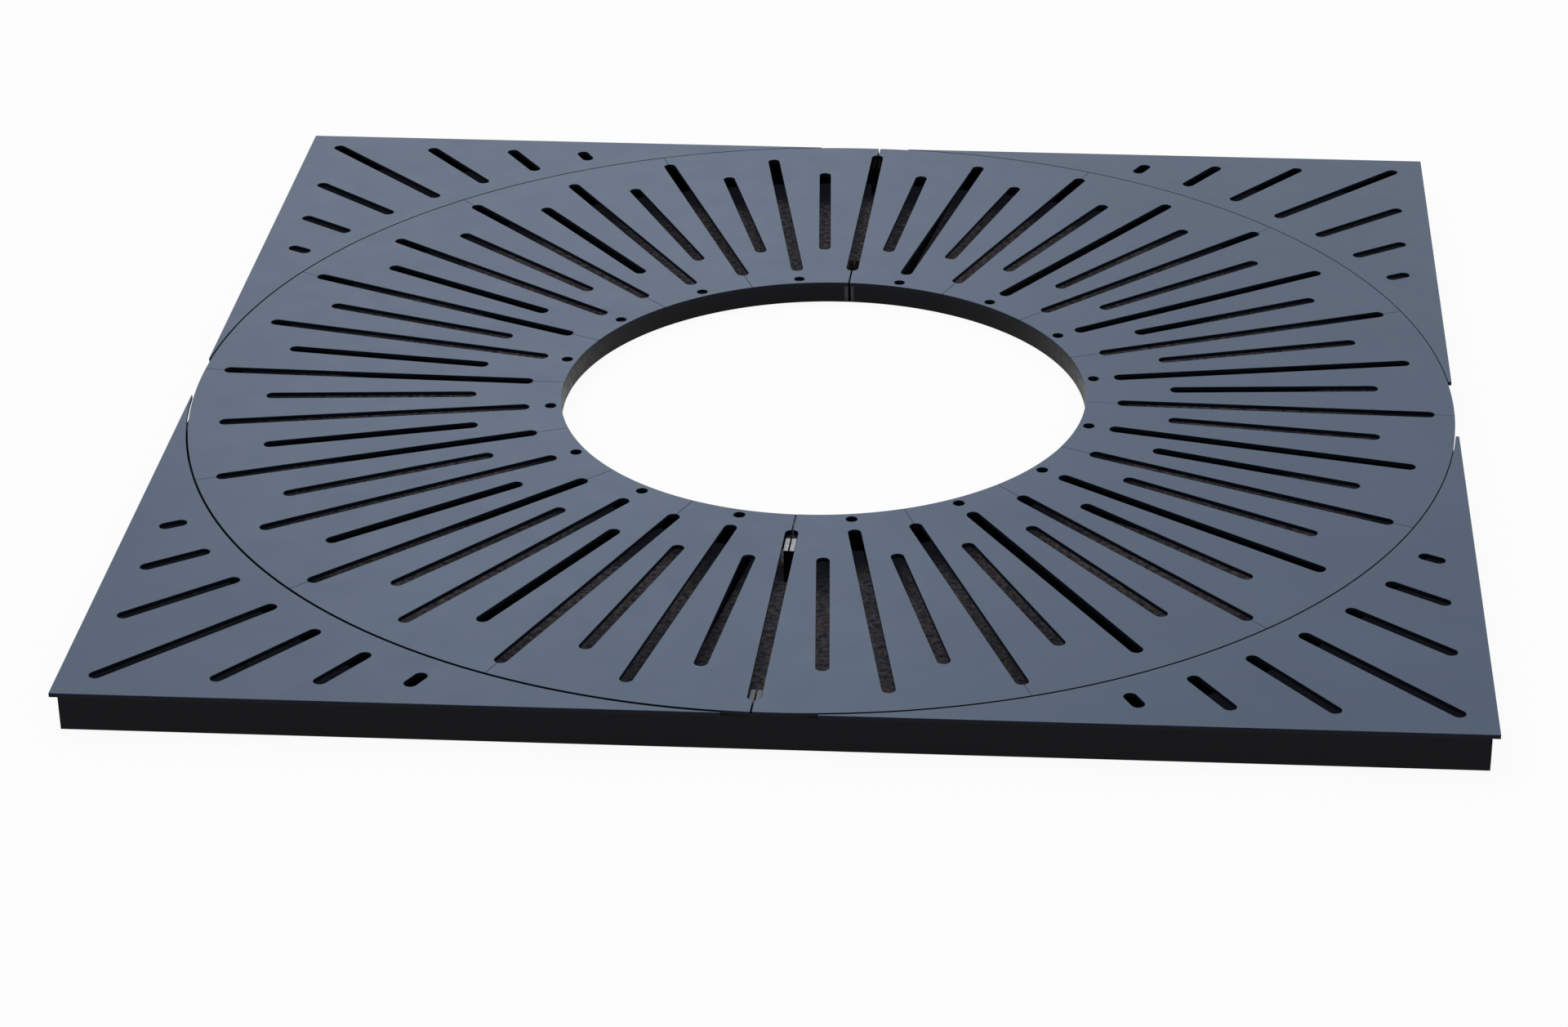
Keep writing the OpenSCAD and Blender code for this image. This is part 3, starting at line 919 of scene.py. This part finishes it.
# %% [markdown]
# Under the plates lies dark ground: damp grit with paler specks, 5 to 10 mm across, that shows
# through the slots which the camera looks along. Beside the inner ring and towards the outer ring
# the walls keep the light off it, and nothing shows. The sheet is cut from a square and a circle
# and filled by triangles. Its shadow is a share of its colour that depends on the distance from the
# middle, and a trace of light of its own stands for the haze that lifts the blacks of a photograph.

# %% Dark ground under the plates
GROUND_LIFT = 0.3 * MM
GRIT = 7 * MM
LIT_FROM_R = (345 * MM, 390 * MM)
LIT_TO_R = (650 * MM, 690 * MM)
SHADOW_SHARE = 0.15
SPECK_NOISE = (0.36, 0.68)
CIRCLE_POINTS = 192


def damp_grit():
    material, tree, output = new_material("damp grit")
    place = add(tree, "ShaderNodeTexCoord").outputs["Object"]
    grit = add(tree, "ShaderNodeTexNoise", {"Vector": place, "Scale": 1 / GRIT,
                                            "Detail": 3.0, "Roughness": 0.7})
    specks = add(tree, "ShaderNodeMapRange", {"Value": grit.outputs["Fac"],
                                              "From Min": SPECK_NOISE[0],
                                              "From Max": SPECK_NOISE[1]})
    base = add(tree, "ShaderNodeMix", {"Factor": specks.outputs[0], "A": colour("352F31"),
                                       "B": colour("8F8783")}, data_type="RGBA")
    radius = add(tree, "ShaderNodeVectorMath", {0: place}, operation="LENGTH").outputs["Value"]
    inner = add(tree, "ShaderNodeMapRange", {"Value": radius, "From Min": LIT_FROM_R[0],
                                             "From Max": LIT_FROM_R[1], "To Min": SHADOW_SHARE})
    outer = add(tree, "ShaderNodeMapRange", {"Value": radius, "From Min": LIT_TO_R[0],
                                             "From Max": LIT_TO_R[1], "To Min": 1.0,
                                             "To Max": SHADOW_SHARE})
    light = add(tree, "ShaderNodeMath", {0: inner.outputs[0], 1: outer.outputs[0]},
                operation="MULTIPLY")
    shaded = add(tree, "ShaderNodeMix", {"Factor": light.outputs[0], "A": colour("000000"),
                                         "B": base.outputs["Result"]}, data_type="RGBA")
    soil = add(tree, "ShaderNodeBsdfDiffuse", {"Color": shaded.outputs["Result"],
                                               "Roughness": 1.0})
    haze = add(tree, "ShaderNodeEmission", {"Color": colour("0F1116"), "Strength": 1.0})
    both = add(tree, "ShaderNodeAddShader", {0: soil.outputs[0], 1: haze.outputs[0]})
    tree.links.new(both.outputs[0], output.inputs["Surface"])
    return material


def add_circle(bm, radius):
    """Adds a circle of edges round the middle of the round part."""
    bmesh.ops.create_circle(bm, segments=CIRCLE_POINTS, radius=radius,
                            matrix=Matrix.Translation(AT_ROUND.translation))


bm = bmesh.new()
bmesh.ops.create_grid(bm, x_segments=1, y_segments=1, size=1)
bmesh.ops.scale(bm, vec=(FRAME_IN_X + BAR_T / 2, FRAME_IN_Y + BAR_T / 2, 1), verts=bm.verts)
bmesh.ops.delete(bm, geom=bm.faces, context="FACES_ONLY")
add_circle(bm, (RING_IN_R + RING_OUT_R) / 2)
bmesh.ops.triangle_fill(bm, edges=bm.edges, use_beauty=True)
bmesh.ops.translate(bm, vec=(0, 0, GROUND_LIFT), verts=bm.verts)
GRIT_COAT = damp_grit()
ground = stage_piece(bm, "ground_under_plates", GRIT_COAT)
print("ground faces:", len(ground.data.polygons))

# %% [markdown]
# In the photograph the pale ground inside the opening ends well above the foot of the inner ring, so
# only the upper part of the ring's far wall shows. A disc of the same floor, raised to that height,
# gives the opening the same crescent. It is drawn as a capped circle. Through the seam at the front
# joint the photograph shows dark ground, so a small patch of it lies on the disc behind the ring.

# %% Pale ground in the opening
OPENING_GROUND_Z = 18.5 * MM
DISC_CLEARANCE = 0.5 * MM
PATCH_SIZE = (6.5 * MM, 41 * MM)
PATCH_MIDDLE = (-5.75 * MM, -284.5 * MM)

bm = bmesh.new()
add_circle(bm, RING_IN_R - DISC_CLEARANCE)
bmesh.ops.edgeloop_fill(bm, edges=bm.edges)
bmesh.ops.translate(bm, vec=(0, 0, OPENING_GROUND_Z), verts=bm.verts)
stage_piece(bm, "ground_in_opening", FLOOR_COAT)

# The patch lies inside the ground's lit radius, so it takes the ground's painted shadow in full.
bm = bmesh.new()
bmesh.ops.create_grid(bm, x_segments=1, y_segments=1, size=1)
bmesh.ops.scale(bm, vec=(PATCH_SIZE[0] / 2, PATCH_SIZE[1] / 2, 1), verts=bm.verts)
bmesh.ops.translate(bm, vec=(*PATCH_MIDDLE, OPENING_GROUND_Z + GROUND_LIFT), verts=bm.verts)
bmesh.ops.transform(bm, matrix=AT_ROUND, verts=bm.verts)
stage_piece(bm, "ground_at_joint", GRIT_COAT)
print("ground in the opening:", round(OPENING_GROUND_Z / MM, 1), "mm up")

# %% [markdown]
# ## Light
# The light is plain and soft: a pale world all round and one very wide sun, high and a little
# behind, so that the tops show their colour as it is written and the faces towards the camera fall
# into their own near black. A picture of a sky would light the grate too, but it would bring its
# own colours. A cool panel far behind gives the tops the sheen that they have towards the back.

# %% World
WORLD_LEVEL = 0.4

world = bpy.data.worlds.new("pale world")
world.use_nodes = True
world.node_tree.nodes.clear()
tree = world.node_tree
sky = add(tree, "ShaderNodeBackground", {"Color": colour("F4F7FF"), "Strength": WORLD_LEVEL})
white = add(tree, "ShaderNodeBackground", {"Color": colour("FFFFFF"), "Strength": 1.0})
mixed = add(tree, "ShaderNodeMixShader", {0: seen_by_eye(tree), 1: sky.outputs[0],
                                          2: white.outputs[0]})
add(tree, "ShaderNodeOutputWorld", {"Surface": mixed.outputs[0]})
bpy.context.scene.world = world
print("world level:", WORLD_LEVEL)

# %% [markdown]
# A lamp's data holds its kind, level and width, and its object holds its place and direction. The
# sun's width of 60 degrees is that of a bright patch of thin cloud, so no shadow has an edge.

# %% Lamps
SUN_LEVEL = 1.45
SUN_WIDTH = math.radians(60)
SUN_TILT = (math.radians(-18), math.radians(-10), 0)
PANEL_WATTS = 23
PANEL_SIDE = 2.0
PANEL_PLACE = Vector((-1.0, 5.0, 2.9))

sun = bpy.data.lights.new("soft sun", "SUN")
sun.energy = SUN_LEVEL
sun.angle = SUN_WIDTH
sun_lamp = bpy.data.objects.new("soft sun", sun)
bpy.context.scene.collection.objects.link(sun_lamp)
sun_lamp.rotation_euler = SUN_TILT

panel = bpy.data.lights.new("soft panel", "AREA")
panel.energy = PANEL_WATTS
panel.size = PANEL_SIDE
panel.color = colour("D8E6FF")[:3]
panel_lamp = bpy.data.objects.new("soft panel", panel)
bpy.context.scene.collection.objects.link(panel_lamp)
panel_lamp.location = PANEL_PLACE
panel_lamp.rotation_euler = (-PANEL_PLACE).to_track_quat("-Z", "Y").to_euler()
panel_lamp.visible_camera = False
bpy.context.scene.view_settings.view_transform = "Standard"
print("lamps:", sun_lamp.name, "|", panel_lamp.name)
